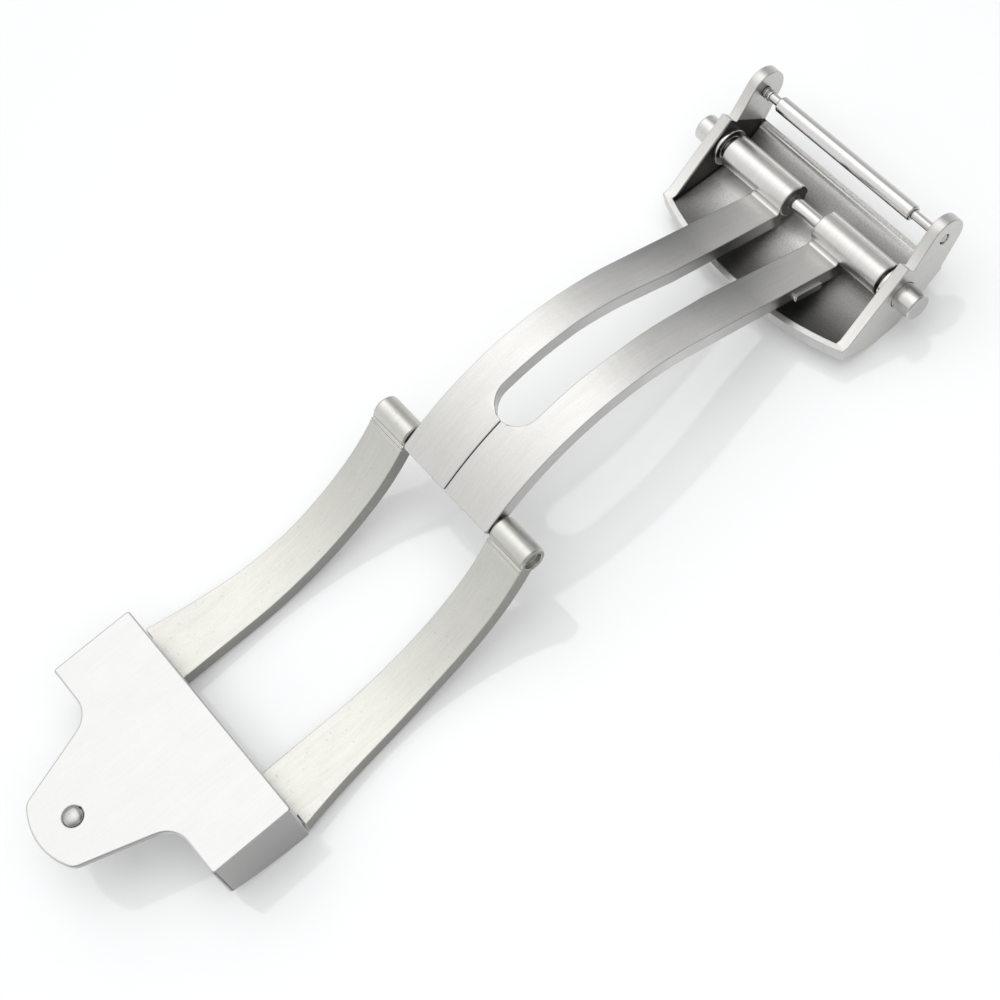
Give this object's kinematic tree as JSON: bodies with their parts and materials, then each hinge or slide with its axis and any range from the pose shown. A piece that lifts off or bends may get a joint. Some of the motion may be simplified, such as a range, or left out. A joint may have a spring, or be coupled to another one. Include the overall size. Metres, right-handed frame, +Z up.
{
  "type": "deployant clasp",
  "caption": "Folding steel watch clasp lying open: end box with strap peg, twin outer and inner arms, and a hinged cover with push buttons and a spring bar.",
  "frame": {"origin": "middle of the bounding box at the table it lies on", "axes": "+X along the clasp from the end box to the cover, +Y across it to the left arm, +Z up"},
  "size_m": [0.0892, 0.0264, 0.0119],
  "materials": {
    "satin_steel": "fine satin brushing along each piece, softly eased edges",
    "polished_steel": "polished",
    "spring_wire": "drawn wire"
  },
  "bodies": {
    "base": {"end_plate": "satin_steel", "strap_stud": "polished_steel", "outer_arm_left": "satin_steel", "outer_arm_right": "satin_steel", "mid_hinge_pin": "polished_steel"},
    "link": {"inner_arm_left": "satin_steel", "inner_arm_right": "satin_steel", "cover_hinge_pin": "polished_steel"},
    "cover": {"cover_shell": "satin_steel"},
    "left_button": {"button_left": "polished_steel", "button_collar_left": "polished_steel", "button_spring_left": "spring_wire"},
    "right_button": {"button_right": "polished_steel", "button_collar_right": "polished_steel", "button_spring_right": "spring_wire"},
    "bar": {"spring_bar_tube": "polished_steel", "bar_spring": "spring_wire"},
    "left_tip": {"bar_tip_left": "polished_steel"},
    "right_tip": {"bar_tip_right": "polished_steel"}
  },
  "joints": [
    {"name": "mid_hinge", "type": "hinge", "parent": "base", "child": "link", "pos_m": [-0.0006, 0, 0.00789], "axis": [0, 1, 0], "range_deg": [0, 159.1]},
    {"name": "cover_hinge", "type": "hinge", "parent": "link", "child": "cover", "pos_m": [0.03761, 0, 0.00386], "axis": [0, 1, 0], "range_deg": [-127.2, 0]},
    {"name": "left_button_push", "type": "slide", "parent": "cover", "child": "left_button", "axis": [0, -1, 0], "range_m": [0, 0.0004], "stiffness_N_per_m": 1500, "springref_m": -0.0004, "deforming": ["button_spring_left"]},
    {"name": "right_button_push", "type": "slide", "parent": "cover", "child": "right_button", "axis": [0, 1, 0], "range_m": [0, 0.0004], "stiffness_N_per_m": 1500, "springref_m": -0.0004, "deforming": ["button_spring_right"]},
    {"name": "bar_spin", "type": "hinge", "parent": "cover", "child": "bar", "pos_m": [0.04249, 0, 0.00675], "axis": [0, 1, 0], "continuous": true},
    {"name": "left_tip_push", "type": "slide", "parent": "bar", "child": "left_tip", "axis": [0, -1, 0], "range_m": [0, 0.00102], "stiffness_N_per_m": 500, "springref_m": -0.0006, "deforming": ["bar_spring"]},
    {"name": "right_tip_push", "type": "slide", "parent": "bar", "child": "right_tip", "axis": [0, 1, 0], "range_m": [0, 0.00102], "stiffness_N_per_m": 500, "springref_m": -0.0006}
  ],
  "couplings": [
    {"joint": "cover_hinge", "follows": "mid_hinge", "ratio": -0.799}
  ]
}
